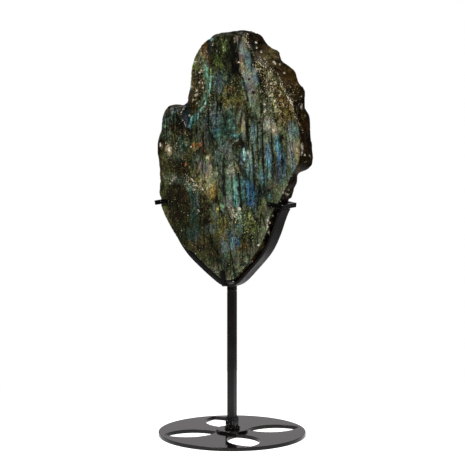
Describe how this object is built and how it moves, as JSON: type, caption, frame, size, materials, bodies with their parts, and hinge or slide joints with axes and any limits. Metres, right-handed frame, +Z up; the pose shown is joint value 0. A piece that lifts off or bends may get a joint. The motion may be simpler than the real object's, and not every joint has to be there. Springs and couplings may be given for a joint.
{
  "type": "polished mineral specimen on stand",
  "caption": "Free-form labradorite slab with a polished iridescent face and rough edges, held upright in a black steel cradle on a post with a round pierced foot.",
  "frame": {"origin": "centre of the round foot's underside", "axes": "+Z up along the post, the stone's polished face looks towards -Y, +X to the right of a viewer who faces it"},
  "size_m": [0.2138, 0.184, 0.5023],
  "materials": {
    "black_paint": "glossy black enamel",
    "labradorite": "polished face, rough lacquered rim, natural back"
  },
  "bodies": {
    "root": {"base_disc": "black_paint", "hub_plate": "black_paint", "post_socket": "black_paint", "post": "black_paint", "cradle_neck": "black_paint", "cradle_strap": "black_paint", "clip_left": "black_paint", "clip_right": "black_paint", "clip_front": "black_paint", "clip_back": "black_paint", "labradorite": "labradorite"}
  },
  "joints": []
}
